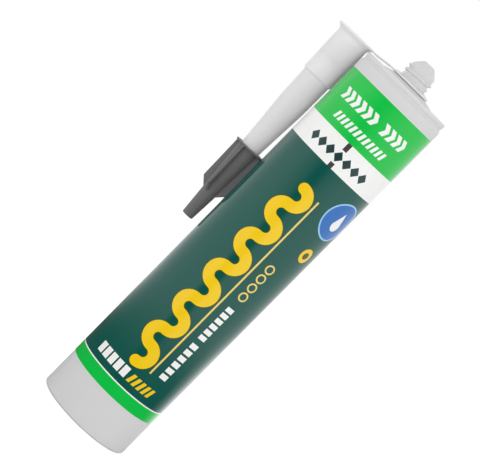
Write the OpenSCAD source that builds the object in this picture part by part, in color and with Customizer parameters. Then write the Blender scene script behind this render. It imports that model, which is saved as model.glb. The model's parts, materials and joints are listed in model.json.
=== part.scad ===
// Caulk tube: a plastic cartridge with its piston, paste, label, tied nozzle and nozzle cap.
// It stands on its open rear rim, and the nozzle hangs beside it on the strap of its neck ring.
// Millimetres, +Z up, origin at the centre of the rear rim, nozzle towards -X.

/* [Cartridge] */
// Outside diameter of the tube
barrel_d = 50; // [46:0.5:54]
// Height from the rear rim to the face of the head
barrel_len = 215.2; // [190:0.1:240]
// Thickness of the tube's wall
barrel_wall = 2; // [1.7:0.1:2.4]
// Extra radius of the lead-in bore at the open rear
lead_in_gain = 0.35; // [0.3:0.05:0.6]
// Depth of the lead-in bore
lead_in_depth = 12; // [8:0.5:16]
// Radius of the rounded outer edge of the rear rim
rear_round = 1.2; // [0.5:0.1:1.2]

/* [Head] */
// Thickness of the head plate
head_wall = 1.6; // [1.2:0.1:2.4]
// How much smaller the lip round the head is than the tube, in radius
lip_inset = 0.45; // [0.2:0.05:0.6]
// Height of the lip above the groove
lip_h = 1.7; // [1.4:0.1:2.2]
// Radius of the lip's rounded upper edge
lip_round = 0.4; // [0.2:0.1:0.6]
// Height of the groove under the lip
groove_h = 2.9; // [2:0.1:3.5]
// Depth of the groove below the line from the lip to the tube
groove_depth = 0.55; // [0.3:0.05:0.7]
// Outer radius of the low cone in the middle of the head
cone_r = 16; // [14:0.5:18]
// Rise of that cone
cone_rise = 2.25; // [1.2:0.05:2.4]

/* [Neck] */
// Diameter of the plain root of the neck, under the thread
neck_d = 14.2; // [13.8:0.1:14.6]
// Height of the plain root above the head
neck_root_h = 4.2; // [4:0.1:4.6]
// Radius of the fillet between the cone and the neck
neck_fillet = 0.5; // [0.3:0.1:0.8]
// Diameter of the neck between the turns of the thread
core_d = 13.1; // [12.5:0.1:13.5]
// Diameter over the turns of the thread
thread_d = 14.9; // [14.5:0.1:15.4]
// Pitch of the right-hand thread
thread_pitch = 2.7; // [2.4:0.1:3]
// Number of turns, run-in and run-out included
thread_turns = 1.8; // [1.3:0.1:2]
// Height of the thread's first crest above the head
thread_start = 4.85; // [4.5:0.05:5]
// Azimuth at which the thread starts, in degrees
thread_turn = -31.3; // [-180:0.1:180]
// Height above the head at which the closed tip begins
tip_start = 10.9; // [10.6:0.1:12.5]
// Height of the closed tip
tip_h = 4.1; // [3.2:0.1:5]
// Diameter of the flat at the top of the tip
tip_flat_d = 5.5; // [4:0.1:6.5]
// Bulge of the tip's flank over a straight cone
tip_bulge = 0.2; // [0.05:0.01:0.4]
// Thickness of the neck's wall and tip
neck_wall = 1.25; // [1:0.05:1.6]

/* [Piston] */
// Height of the piston's rear edge above the rear rim
piston_depth = 13; // [12.5:0.5:20]
// Height of the piston's skirt
piston_skirt = 14; // [11:0.5:18]
// Rise of the piston's domed face above its skirt
piston_rise = 3; // [1.5:0.5:5]
// Thickness of the piston's wall and face
piston_wall = 1.4; // [1.1:0.1:2]
// Gap between the sealing lips and the bore
piston_fit = 0.05; // [0.02:0.01:0.1]
// Gap between the piston's skirt and the bore, between the lips
piston_relief = 0.8; // [0.5:0.1:1]
// Height of each sealing lip
seal_h = 1.6; // [1.2:0.1:2.2]
// Number of ribs inside the piston
rib_count = 8; // [4:1:10]
// Thickness of a rib
rib_t = 1.1; // [0.8:0.1:1.6]
// Depth of a rib below the face
rib_h = 5; // [3:0.5:7]
// Radius of the ring that joins the ribs
hub_r = 6; // [4.5:0.5:9]

/* [Paste] */
// Gap between the paste and the wall that holds it
paste_fit = 0.05; // [0.03:0.01:0.1]

/* [Label] */
// Bare tube under the label
bare_low = 20.5; // [14:0.5:30]
// Bare tube over the label, up to the face of the head
bare_high = 9.6; // [8:0.1:16]
// Thickness of the film
film_t = 0.1; // [0.08:0.01:0.2]
// Thickness of the printed fields
ink_t = 0.03; // [0.02:0.01:0.05]
// Height of the lower green band
low_band_h = 6.3; // [3:0.1:12]
// Height of the upper green band
high_band_h = 26.2; // [15:0.1:34]
// Height of the white band under it
white_band_h = 14; // [8:0.1:20]
// Width of a pale line between two bands
line_h = 0.6; // [0.3:0.1:1]
// Radius of the round blue badge
badge_r = 10.5; // [6:0.5:12]
// Azimuth of the badge
badge_turn = -19.3; // [-34:0.1:-9]
// Height of the plain field between the lower band and the print
print_gap = 11; // [6:0.5:12]
// Width of the bead of paste printed on the label
bead_w = 5.5; // [3:0.5:6]
// Radius of the bead's bends, to the middle of its width
bead_r = 5; // [4:0.5:5]
// Number of bends in the bead
bead_count = 11; // [5:1:11]
// Azimuth of the bead
bead_turn = -77.3; // [-89:0.1:-69]
// Azimuth of the thin line beside the bead
rule_turn = -56.3; // [-57:0.1:-50]
// Width of that thin line
rule_w = 0.9; // [0.5:0.1:1.5]

/* [Nozzle] */
// Radius of the flange round the nozzle's mouth
flange_r = 10.5; // [10:0.1:11]
// Thickness of the flange's edge
flange_t = 0.85; // [0.7:0.05:1]
// Height of the flange's upper face above the head
flange_rise = 1.55; // [1.4:0.05:2.4]
// Depth of the flange's conical underside
flange_cone_h = 1.85; // [1.2:0.05:2.2]
// Outside radius of the skirt under the flange
skirt_r = 8.56; // [8.5:0.02:9]
// Length of the nozzle from the flange's upper face to the faint step in the skirt
collar_len = 16; // [14:0.1:20]
// Height of that step
collar_step = 0.1; // [0.05:0.01:0.2]
// Outside radius of the skirt at its lower end
skirt_low_r = 8.3; // [8.2:0.02:8.5]
// Length of the nozzle from the flange's upper face to the end of the skirt
skirt_len = 26.7; // [22:0.1:32]
// Outside radius of the nozzle just below the skirt
body_r = 7.49; // [7.2:0.02:7.8]
// Outside radius of the nozzle where its cone begins
cone_top_r = 7.2; // [6.9:0.02:7.3]
// Length of the nozzle from the flange's upper face to its cone
cone_start = 43; // [38:0.5:50]
// Narrowing of the cone's radius for each millimetre of its length
taper = 0.0705; // [0.06:0.0005:0.08]
// Length of the whole nozzle
nozzle_len = 104; // [95:0.5:105]
// Thickness of the nozzle's wall
nozzle_wall = 1.1; // [0.9:0.05:1.3]
// Depth of the threaded socket
socket_len = 17.5; // [16.5:0.5:20]
// Gap between the neck's thread and the nozzle's, when screwed together
thread_fit = 0.15; // [0.1:0.05:0.2]
// Lean of the hanging nozzle, with its tip towards the tube, in degrees
lean = 1; // [0:0.1:2]

/* [Strap and ring] */
// Width of the strap
strap_w = 5; // [4:0.5:7]
// Thickness of the strap
strap_t = 0.8; // [0.6:0.1:0.9]
// Width that the tear notches leave
tear_w = 2.6; // [2:0.1:3.5]
// Outer radius of the ring
ring_r = 10.7; // [10:0.1:11]
// Gap between the ring and the neck
ring_fit = 0.3; // [0.2:0.05:0.3]
// Thickness of the ring
ring_t = 0.8; // [0.7:0.05:1]
// Height of the ring's outer edge above the head
ring_low = 1.8; // [1.75:0.05:2.2]
// Rise of the dished ring from its outer to its inner edge
ring_dish = 0.9; // [0.8:0.05:1.1]

/* [Nozzle cap] */
// Length of the cap
cap_len = 43.35; // [40:0.05:46]
// Length of the nozzle from the flange's upper face to the mouth of the cap
cap_start = 72.5; // [68:0.1:76]
// Thickness of the cap's wall
cap_wall = 0.8; // [0.6:0.05:1]
// Thickness of the cap's closed end
cap_end_t = 1.4; // [1:0.1:2]
// Gap between the cap and the nozzle
cap_fit = 0.08; // [0.05:0.01:0.1]
// Radius of the rim
rim_r = 8.1; // [7.5:0.05:8.5]
// Thickness of the rim
rim_t = 0.85; // [0.6:0.05:1.2]
// Radius over the grip fins
fin_r = 8.15; // [7.4:0.05:8.4]
// Thickness of a fin
fin_t = 1.1; // [0.8:0.1:1.5]
// Length of the fins from the mouth of the cap to their sloping ends
fin_len = 24.2; // [18:0.2:28]
// Number of fins
fin_count = 4; // [3:1:6]
// Turn of the fins about the nozzle, in degrees
fin_turn = -6.8; // [-20:0.1:20]

/* [Hidden] */

$fn = 96;
// Clearance left between pieces that must not touch
run_gap = 0.3;
// Depth by which one form is sunk into another of the same piece
sink = 0.3;
// Distance by which a cutting form reaches past the form it cuts
over = 1;
// Width of the small bevels on moulded edges
edge_cut = 0.15;
// Width of the wider bevels at mouths and ends
mouth_cut = 0.5;
// Height of the slope behind a sealing lip of the piston
seal_slope = 0.6;
// Length of the strap's level end at the ring
strap_level = 3;
// Distance of the tear notches from the flange's edge
notch_gap = 1.5;
// Steps in a small rounded edge, and in a longer curve
round_steps = 4;
curve_steps = 8;
// Steps in one turn of a thread
turn_steps = 30;
// Half the height of a thread's foot and of its crest, as shares of the pitch
foot_share = 0.36;
crest_share = 0.14;
// Part of a turn over which a thread runs in and out
ramp_turns = 0.12;
// Share of its height with which a thread begins and ends
ramp_low = 0.02;
barrel_r = barrel_d / 2;
bore_r = barrel_r - barrel_wall;
lead_r = bore_r + lead_in_gain;
lip_r = barrel_r - lip_inset;
neck_r = neck_d / 2;
core_r = core_d / 2;
neck_bore_r = core_r - neck_wall;
tip_top = tip_start + tip_h;
// Inner face of the head plate
head_in = barrel_len - head_wall;
// Front of the piston
piston_top = piston_depth + piston_skirt + piston_rise;
label_low = bare_low;
label_top = barrel_len - bare_high;
label_r = barrel_r + film_t;
print_r = label_r + ink_t;
// Printed fields reach halfway into the film, so that they are one piece with it
print_in = barrel_r + film_t / 2;
white_top = label_top - high_band_h;
white_low = white_top - white_band_h;
low_band_top = label_low + low_band_h;
socket_r = thread_d / 2 + thread_fit;
ridge_r = core_r + thread_fit;
cap_end = cap_start + cap_len;
// Fins meet the cap's body at a 45 degree slope
fin_end = cap_start + fin_len;
// Distance of the nozzle from the cartridge's axis, so that its widest places clear the label
hang_r = print_r + run_gap + max(
    skirt_low_r + tan(lean) * skirt_len,
    rim_r + tan(lean) * (cap_start + rim_t),
    fin_r * cos(fin_turn) + tan(lean) * fin_end
);

// Points of an arc from p to q that bulges to the right of the way from p to q
function bulged(p, q, sag, n) =
    let (
        chord = norm(q - p),
        r = chord * chord / (8 * sag) + sag / 2,
        along = (q - p) / chord,
        out = [along[1], -along[0]],
        middle = (p + q) / 2 - out * (r - sag),
        half = asin(chord / 2 / r)
    )
    [for (i = [0:n]) let (t = half * (2 * i / n - 1)) middle + r * (along * sin(t) + out * cos(t))];

// The same arc, bulging to the left
function dished(p, q, sag, n) =
    let (points = bulged(q, p, sag, n))
    [for (i = [n:-1:0]) points[i]];

// Sag of a quarter circle of radius r
function quarter_sag(r) = r * (1 - cos(45));

// Outside radius of the nozzle at a distance below the flange's upper face, on its cone
function cone_at(s) = cone_top_r - (s - cone_start) * taper;

// Radius of the cap's body at a distance below the flange's upper face
function cap_at(s) = cone_at(s) + cap_fit + cap_wall;

// The cavity over the piston, from the middle of the tip down to the bore, less a gap g
function cavity(g) = [
    [0, barrel_len + tip_top - neck_wall - g],
    [tip_flat_d / 2 - neck_wall / 2 - g, barrel_len + tip_top - neck_wall - g],
    [neck_bore_r - g, barrel_len + tip_start - neck_wall / 2 - g],
    [neck_bore_r - g, head_in - g],
    [bore_r - g, head_in - g]
];

// A helical ridge of trapezoid section: foot and crest are radii, start the height of its middle
module thread_ridge(foot, crest, pitch, turns, start, turn) {
    steps = round(turns * turn_steps);
    foot_half = pitch * foot_share;
    crest_half = pitch * crest_share;
    points = [
        for (i = [0:steps])
            let (
                share = i / steps,
                a = turn + 360 * turns * share,
                z = start + pitch * turns * share,
                grown = min(1, share * turns / ramp_turns, (1 - share) * turns / ramp_turns),
                top = foot + (crest - foot) * (ramp_low + (1 - ramp_low) * grown)
            )
            each [
                [foot * cos(a), foot * sin(a), z - foot_half],
                [top * cos(a), top * sin(a), z - crest_half],
                [top * cos(a), top * sin(a), z + crest_half],
                [foot * cos(a), foot * sin(a), z + foot_half]
            ]
    ];
    outward = crest > foot;
    sides = [
        for (i = [0:steps - 1], k = [0:3])
            let (
                a = 4 * i + k,
                b = 4 * i + (k + 1) % 4,
                c = 4 * (i + 1) + (k + 1) % 4,
                d = 4 * (i + 1) + k
            )
            each [[a, b, c], [a, c, d]]
    ];
    last = 4 * steps;
    ends = [[0, 2, 1], [0, 3, 2], [last, last + 1, last + 2], [last, last + 2, last + 3]];
    faces = concat(sides, ends);
    polyhedron(points, outward ? faces : [for (f = faces) [f[0], f[2], f[1]]], convexity = 6);
}

// The one-piece tube, head and neck, open at the rear and closed at the tip
module cartridge_barrel() {
    color("gainsboro") {
        rotate_extrude() polygon(concat(
            [[lead_r, 0]],
            bulged([barrel_r - rear_round, 0], [barrel_r, rear_round], quarter_sag(rear_round), round_steps),
            dished(
                [barrel_r, barrel_len - lip_h - groove_h],
                [lip_r, barrel_len - lip_h],
                groove_depth, curve_steps
            ),
            bulged(
                [lip_r, barrel_len - lip_round],
                [lip_r - lip_round, barrel_len],
                quarter_sag(lip_round), round_steps
            ),
            [[cone_r, barrel_len]],
            dished(
                [neck_r + neck_fillet, barrel_len + cone_rise],
                [neck_r, barrel_len + cone_rise + neck_fillet],
                quarter_sag(neck_fillet), round_steps
            ),
            [
                [neck_r, barrel_len + neck_root_h],
                [core_r, barrel_len + neck_root_h + neck_r - core_r]
            ],
            bulged(
                [core_r, barrel_len + tip_start],
                [tip_flat_d / 2 + edge_cut, barrel_len + tip_top - edge_cut],
                tip_bulge, curve_steps
            ),
            [[tip_flat_d / 2, barrel_len + tip_top]],
            [[0, barrel_len + tip_top]],
            cavity(0),
            [[bore_r, lead_in_depth + lead_in_gain], [lead_r, lead_in_depth]]
        ));
        translate([0, 0, barrel_len])
            thread_ridge(core_r - sink, thread_d / 2, thread_pitch, thread_turns, thread_start, thread_turn);
    }
}

// The cup that the plunger of a gun pushes: two sealing lips, a domed face and ribs behind it
module piston() {
    skirt_out = bore_r - piston_relief;
    skirt_in = skirt_out - piston_wall;
    lip_out = bore_r - piston_fit;
    face_z = piston_depth + piston_skirt;
    face_r = skirt_out - piston_rise;
    color("whitesmoke") {
        rotate_extrude() polygon([
            [skirt_in, piston_depth],
            [lip_out - edge_cut, piston_depth],
            [lip_out, piston_depth + edge_cut],
            [lip_out, piston_depth + seal_h],
            [skirt_out, piston_depth + seal_h + seal_slope],
            [skirt_out, face_z - seal_h - seal_slope],
            [lip_out, face_z - seal_h],
            [lip_out, face_z - edge_cut],
            [lip_out - edge_cut, face_z],
            [skirt_out, face_z],
            [face_r, piston_top],
            [0, piston_top],
            [0, piston_top - piston_wall],
            [face_r - piston_wall / 2, piston_top - piston_wall],
            [skirt_in, face_z - piston_wall]
        ]);
        intersection() {
            union() {
                for (i = [0:rib_count - 1])
                    rotate([0, 0, i * 360 / rib_count])
                        translate([hub_r - rib_t / 2, -rib_t / 2, piston_top - piston_wall - rib_h])
                            cube([skirt_in - hub_r + rib_t / 2 + sink, rib_t, rib_h + sink]);
                translate([0, 0, piston_top - piston_wall - rib_h])
                    rotate_extrude()
                        translate([hub_r - rib_t / 2, 0])
                            square([rib_t, rib_h + sink]);
            }
            rotate_extrude() polygon([
                [0, piston_depth],
                [skirt_in + sink, piston_depth],
                [skirt_in + sink, face_z - piston_wall],
                [face_r - piston_wall / 2, piston_top - piston_wall + sink],
                [0, piston_top - piston_wall + sink]
            ]);
        }
    }
}

// The paste that fills the cartridge from the piston to the closed tip
module adhesive_fill() {
    color("antiquewhite")
        rotate_extrude() polygon(concat(
            cavity(paste_fit),
            [
                [bore_r - paste_fit, piston_depth + piston_skirt + run_gap],
                [bore_r - piston_relief - run_gap / 2, piston_depth + piston_skirt + run_gap],
                [bore_r - piston_relief - piston_rise, piston_top + run_gap],
                [0, piston_top + run_gap]
            ]
        ));
}

// One band of the film, between two heights
module band(low, high, shade) {
    color(shade)
        rotate_extrude()
            translate([barrel_r, low])
                square([film_t, high - low]);
}

// A printed field: a flat shape, X round the tube and Y up it, wrapped on at an azimuth
module printed(turn, shade) {
    color(shade)
        intersection() {
            rotate_extrude()
                translate([print_in, label_low])
                    square([print_r - print_in, label_top - label_low]);
            rotate([0, 0, turn])
                rotate([90, 0, 90])
                    linear_extrude(print_r + over)
                        children();
        }
}

// Half of a ring in the plane, open towards -X or +X, for the bends of the bead
module half_ring(r, w, side) {
    intersection() {
        difference() {
            circle(r + w / 2);
            circle(r - w / 2);
        }
        translate([side > 0 ? 0 : -2 * r, -2 * r])
            square([2 * r, 4 * r]);
    }
}

// The wrapped film with its bands of colour and its simple printed shapes
module label_film() {
    band(label_low, low_band_top, "limegreen");
    band(low_band_top, low_band_top + line_h, "white");
    band(low_band_top + line_h, white_low, "darkslategray");
    band(white_low, white_top, "white");
    band(white_top, label_top, "limegreen");
    bead_low = low_band_top + print_gap + bead_r + bead_w / 2;
    printed(bead_turn, "gold") {
        for (i = [0:bead_count - 1])
            translate([0, bead_low + 2 * bead_r * i])
                half_ring(bead_r, bead_w, i % 2 == 0 ? 1 : -1);
        for (i = [0, bead_count])
            translate([0, bead_low + bead_r * (2 * i - 1)])
                circle(bead_w / 2);
    }
    printed(rule_turn, "gold")
        translate([-rule_w / 2, bead_low])
            square([rule_w, 2 * bead_r * (bead_count - 1)]);
    printed(badge_turn, "royalblue")
        translate([0, white_low - badge_r - 2 * line_h])
            circle(badge_r);
}

// The nozzle's own form about its axis, with the flange's upper face at 0 and the tip below
module nozzle_tube() {
    step = skirt_low_r - body_r;
    collar_r = (skirt_r + skirt_low_r + collar_step) / 2;
    tip_r = cone_at(nozzle_len);
    rotate_extrude() polygon([
        [socket_r + mouth_cut, 0],
        [flange_r - edge_cut, 0],
        [flange_r, -edge_cut],
        [flange_r, -flange_t],
        [skirt_r, -flange_t - flange_cone_h],
        [collar_r, -collar_len],
        [collar_r - collar_step, -collar_len - collar_step],
        [skirt_low_r, -skirt_len],
        [body_r, -skirt_len - step],
        [cone_top_r, -cone_start],
        [tip_r, -nozzle_len],
        [tip_r - nozzle_wall, -nozzle_len],
        [cone_top_r - nozzle_wall, -cone_start],
        [body_r - nozzle_wall, -skirt_len - step],
        [body_r - nozzle_wall, -socket_len - (socket_r - body_r + nozzle_wall)],
        [socket_r, -socket_len],
        [socket_r, -mouth_cut]
    ]);
    // The same turns as the neck's, as far from the mouth as those are from the head
    rotate([180, 0, 0])
        thread_ridge(socket_r + sink, ridge_r, thread_pitch, thread_turns, thread_start, thread_turn);
}

// The dished ring that turns freely on the neck's plain root
module neck_ring() {
    inner = neck_r + ring_fit;
    rotate_extrude() polygon([
        [ring_r - edge_cut, ring_low],
        [ring_r, ring_low + edge_cut],
        [ring_r, ring_low + ring_t - edge_cut],
        [ring_r - edge_cut, ring_low + ring_t],
        [inner + mouth_cut, ring_low + ring_t + ring_dish],
        [inner, ring_low + ring_t + ring_dish],
        [inner, ring_low + ring_dish]
    ]);
}

// The strap from the flange to the ring, with notches where it tears off the flange
module strap() {
    flange_side = -hang_r + skirt_r;
    ring_side = -ring_r + 2 * sink;
    notch_x = -hang_r + flange_r + notch_gap;
    notch_r = (strap_w - tear_w) / 2;
    low_z = flange_rise - strap_t / 2;
    high_z = ring_low + ring_t - strap_t;
    bend_from = notch_x + notch_r;
    difference() {
        translate([0, strap_w / 2, 0])
            rotate([90, 0, 0])
                linear_extrude(strap_w)
                    polygon([
                        [flange_side, low_z - strap_t / 2],
                        [bend_from, low_z - strap_t / 2],
                        [ring_side - strap_level, high_z],
                        [ring_side, high_z],
                        [ring_side, high_z + strap_t],
                        [ring_side - strap_level, high_z + strap_t],
                        [bend_from, low_z + strap_t / 2],
                        [flange_side, low_z + strap_t / 2]
                    ]);
        for (side = [-1, 1])
            translate([notch_x, side * strap_w / 2, low_z - strap_t])
                cylinder(r = notch_r, h = 2 * strap_t, $fn = 32);
    }
}

// Places a form made about the nozzle's axis where the hanging nozzle is
module hung() {
    translate([-hang_r, 0, barrel_len + flange_rise])
        rotate([0, -lean, 0])
            children();
}

// The nozzle with its flange, strap and neck ring, moulded in one piece
module nozzle() {
    color("whitesmoke") {
        hung() nozzle_tube();
        translate([0, 0, barrel_len]) {
            neck_ring();
            strap();
        }
    }
}

// One grip fin, standing out from the cap along +X
module cap_fin() {
    root_r = cap_at(fin_end) - 2 * sink;
    rotate([90, 0, 0])
        translate([0, 0, -fin_t / 2])
            linear_extrude(fin_t)
                polygon([
                    [root_r, -cap_start - rim_t / 2],
                    [fin_r, -cap_start - rim_t / 2],
                    [fin_r, -fin_end],
                    [root_r, -fin_end - (fin_r - root_r)]
                ]);
}

// The soft cap pushed over the nozzle's tip: a thin rim, grip fins and a closed tapered tube
module nozzle_cap() {
    end_r = cap_at(cap_end);
    hollow_end = cap_end - cap_end_t;
    color("dimgray")
        hung() difference() {
            union() {
                rotate_extrude() polygon([
                    [0, -cap_start],
                    [rim_r - edge_cut, -cap_start],
                    [rim_r, -cap_start - edge_cut],
                    [rim_r, -cap_start - rim_t + edge_cut],
                    [rim_r - edge_cut, -cap_start - rim_t],
                    [cap_at(cap_start + rim_t), -cap_start - rim_t],
                    [cap_at(cap_end - mouth_cut), -cap_end + mouth_cut],
                    [end_r - mouth_cut, -cap_end],
                    [0, -cap_end]
                ]);
                for (i = [0:fin_count - 1])
                    rotate([0, 0, fin_turn + i * 360 / fin_count])
                        cap_fin();
            }
            rotate_extrude() polygon([
                [0, -cap_start + over],
                [cone_at(cap_start - over) + cap_fit, -cap_start + over],
                [cone_at(hollow_end) + cap_fit, -hollow_end],
                [0, -hollow_end]
            ]);
        }
}

cartridge_barrel();
piston();
adhesive_fill();
label_film();
nozzle();
nozzle_cap();
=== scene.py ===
# %% [markdown]
# # A caulk tube on its open end
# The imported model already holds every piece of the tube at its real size: the moulded cartridge,
# the wrapped label, the tied nozzle with its cap, and the piston and paste inside. This lesson
# dresses them for a close look. It makes finer skins over the same sizes, gives each a finish, and
# sets up a plain studio. The frame comes first, because every new piece has to sit where it says.

import json
import math

import bmesh
import bpy
from mathutils import Matrix, Vector


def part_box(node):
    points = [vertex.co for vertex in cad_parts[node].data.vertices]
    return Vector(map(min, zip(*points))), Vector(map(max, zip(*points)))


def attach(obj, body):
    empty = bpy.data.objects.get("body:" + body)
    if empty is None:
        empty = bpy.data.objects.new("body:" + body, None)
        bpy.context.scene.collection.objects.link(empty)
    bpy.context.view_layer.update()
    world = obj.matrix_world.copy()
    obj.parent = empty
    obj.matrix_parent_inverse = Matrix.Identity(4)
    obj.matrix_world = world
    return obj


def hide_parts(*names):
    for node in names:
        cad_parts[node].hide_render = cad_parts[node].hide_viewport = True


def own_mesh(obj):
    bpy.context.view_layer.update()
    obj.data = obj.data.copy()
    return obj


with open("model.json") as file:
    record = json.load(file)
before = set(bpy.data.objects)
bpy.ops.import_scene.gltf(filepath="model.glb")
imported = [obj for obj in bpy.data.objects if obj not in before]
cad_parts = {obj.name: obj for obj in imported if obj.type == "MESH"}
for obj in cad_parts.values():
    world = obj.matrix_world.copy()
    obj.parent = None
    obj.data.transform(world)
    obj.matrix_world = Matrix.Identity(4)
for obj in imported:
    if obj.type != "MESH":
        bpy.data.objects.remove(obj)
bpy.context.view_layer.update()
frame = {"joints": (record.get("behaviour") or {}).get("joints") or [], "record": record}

# %% [markdown]
# ## Sizes
# Mouldings are drawn in millimetres, and Blender works in metres, so one factor turns the first
# into the second. What the frame can tell is read from it. The rest repeats the drawing of the
# part: heights are above the rear rim, or above the head where the name says so.

# %% Sizes of the cartridge
MM = 0.001
mounts = {mount["name"]: mount for mount in frame["record"]["mounts"]}
tube_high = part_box("cartridge_barrel")[1]
film_low, film_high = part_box("label_film")
TUBE_R = tube_high.x / MM
TIP_TOP = tube_high.z / MM
HEAD = mounts["head_face"]["pos_m"][2] / MM
LEAD_R = mounts["plunger_mouth"]["dims"]["r_mm"]
LEAD_DEPTH = mounts["plunger_mouth"]["dims"]["length_mm"]
LABEL_LOW = film_low.z / MM
LABEL_TOP = film_high.z / MM
WALL = 2
BORE_R = TUBE_R - WALL
HEAD_WALL = 1.6
NECK_R = 7.1
CORE_R = 6.55
THREAD_R = 7.45
NECK_WALL = 1.25
print(f"tube {2 * TUBE_R:.1f} mm wide, head at {HEAD:.1f} mm, tip at {TIP_TOP:.1f} mm")

# %% [markdown]
# ## The camera
# The photograph was taken from about a metre away with a long lens, from a little above, and the
# tube leans across the frame. The tube stays upright here and the camera rolls instead, which
# gives the same picture and leaves the part in its own frame. Three turns build the camera's
# stance, one after another: round the tube, down, and the roll about its own line of sight.

# %% Camera
CAMERA_PLACE = Vector((261.35, -929.77, 205.9)) * MM
CAMERA_TURN = math.radians(16.166)
CAMERA_DIP = math.radians(-5.494)
CAMERA_ROLL = math.radians(44.6)
CAMERA_LENS = 156.31

lens = bpy.data.cameras.new("photo_camera")
lens.lens = CAMERA_LENS
lens.sensor_width = 36
camera = bpy.data.objects.new("photo_camera", lens)
bpy.context.scene.collection.objects.link(camera)
camera.matrix_world = (
    Matrix.Translation(CAMERA_PLACE)
    @ Matrix.Rotation(CAMERA_TURN, 4, "Z")
    @ Matrix.Rotation(math.radians(90) + CAMERA_DIP, 4, "X")
    @ Matrix.Rotation(CAMERA_ROLL, 4, "Z")
)
bpy.context.scene.camera = camera
print("camera stands", round(CAMERA_PLACE.length, 3), "m from the rear rim")

# %% [markdown]
# ## Writing a finish as arithmetic
# A finish in Blender is a graph of nodes. Most of them only add, multiply and compare, so a small
# class wraps a socket and lets Python's own operators add those nodes. `1 - mask` then reads as it
# would on paper. Every other node comes from one method, which sets its options before its inputs.

# %% Sockets with operators
class Wire:
    """An output socket. Arithmetic on it adds Math nodes to its graph."""

    def __init__(self, graph, socket):
        self.graph = graph
        self.socket = socket

    def math(self, operation, *others):
        inputs = dict(enumerate((self, *others)))
        return self.graph.node("ShaderNodeMath", {"operation": operation}, inputs)

    def __add__(self, other):
        return self.math("ADD", other)

    def __sub__(self, other):
        return self.math("SUBTRACT", other)

    def __rsub__(self, other):
        return self.graph.node("ShaderNodeMath", {"operation": "SUBTRACT"}, {0: other, 1: self})

    def __mul__(self, other):
        return self.math("MULTIPLY", other)

    def __truediv__(self, other):
        return self.math("DIVIDE", other)

    def __lt__(self, other):
        return self.math("LESS_THAN", other)

    def __gt__(self, other):
        return self.math("GREATER_THAN", other)

    def __abs__(self):
        return self.math("ABSOLUTE")

    __radd__ = __add__
    __rmul__ = __mul__


class Graph:
    """A node tree, emptied and ready to be written."""

    def __init__(self, owner):
        owner.use_nodes = True
        self.tree = owner.node_tree
        self.tree.nodes.clear()

    def node(self, kind, settings=None, inputs=None, output=0):
        made = self.tree.nodes.new(kind)
        for name, value in (settings or {}).items():
            setattr(made, name, value)
        for key, value in (inputs or {}).items():
            if isinstance(value, Wire):
                self.tree.links.new(value.socket, made.inputs[key])
            else:
                made.inputs[key].default_value = value
        return Wire(self, made.outputs[output]) if made.outputs else made

    def blend(self, factor, first, second):
        inputs = {0: factor, 6: first, 7: second}
        return self.node("ShaderNodeMix", {"data_type": "RGBA"}, inputs, output=2)

    def noise(self, vector, scale, detail=2.0):
        inputs = {"Vector": vector, "Scale": scale, "Detail": detail}
        return self.node("ShaderNodeTexNoise", {}, inputs)

    def bump(self, relief, depth, strength=1.0):
        inputs = {"Strength": strength, "Distance": depth, "Height": relief}
        return self.node("ShaderNodeBump", {}, inputs)

    def skin(self, inputs):
        """Ends a finish with one surface that has these inputs."""
        surface = self.node("ShaderNodeBsdfPrincipled", {}, inputs)
        self.node("ShaderNodeOutputMaterial", {}, {"Surface": surface})


def shade(red, green, blue):
    """A colour given as a screen shows it, from 0 to 255, in the linear values that nodes take."""

    def linear(level):
        level = level / 255
        return level / 12.92 if level <= 0.04045 else ((level + 0.055) / 1.055) ** 2.4

    return (linear(red), linear(green), linear(blue), 1.0)


print("a mid grey of 128 is", round(shade(128, 128, 128)[0], 3), "in linear light")

# %% [markdown]
# ## Moulded plastic
# The cartridge, the nozzle, the cap and the piston are injection moulded polyethylene. Such a skin
# is even in colour, but not dead flat: the melt leaves faint clouds, the mould's fine spark-eroded
# texture breaks up the shine, and long forms show weak flow lines along their draw. One recipe with
# a few numbers covers all four. The noise is laid on Object coordinates, which are the frame's own
# metres, so its grain has a real size on every piece. The plastic of the tube and the nozzle is milky
# too: light enters it and comes out close by, which softens their thin edges.

# %% Recipe for moulded plastic
CLOUDS_PER_MM = 0.03
STREAKS_PER_MM = 0.5
GRAINS_PER_MM = 2
STREAK_DRAW = 0.06
CLOUD_SHARE = 0.7
STREAK_RELIEF = 0.5
GRAIN_DEPTH = 0.014
ROUGHNESS_SPREAD = 0.12
GLOW_REACH = 4


def moulded_plastic(name, colour, roughness, cloud=0.03, glow=0.0, shine=0.5):
    """A polyethylene skin. The colour wanders by cloud, glow lets light in, and shine is its gloss."""
    material = bpy.data.materials.new(name)
    graph = Graph(material)
    place = graph.node("ShaderNodeTexCoord", output="Object")
    flow = graph.node("ShaderNodeMapping", {}, {"Vector": place, "Scale": (1, 1, STREAK_DRAW)})
    clouds = graph.noise(place, CLOUDS_PER_MM / MM, 3.0)
    streaks = graph.noise(flow, STREAKS_PER_MM / MM)
    grain = graph.noise(place, GRAINS_PER_MM / MM)
    light = tuple(min(1, c * (1 + cloud)) for c in colour[:3]) + (1,)
    dark = tuple(c * (1 - cloud) for c in colour[:3]) + (1,)
    paint = graph.blend(clouds * CLOUD_SHARE + streaks * (1 - CLOUD_SHARE), dark, light)
    relief = grain + streaks * STREAK_RELIEF
    graph.skin({
        "Base Color": paint,
        "Roughness": clouds * ROUGHNESS_SPREAD + (roughness - ROUGHNESS_SPREAD / 2),
        "Normal": graph.bump(relief, GRAIN_DEPTH * MM),
        "Subsurface Weight": glow,
        "Subsurface Radius": (1.0, 1.0, 1.0),
        "Subsurface Scale": GLOW_REACH * MM,
        "Specular IOR Level": shine,
    })
    return material


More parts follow.
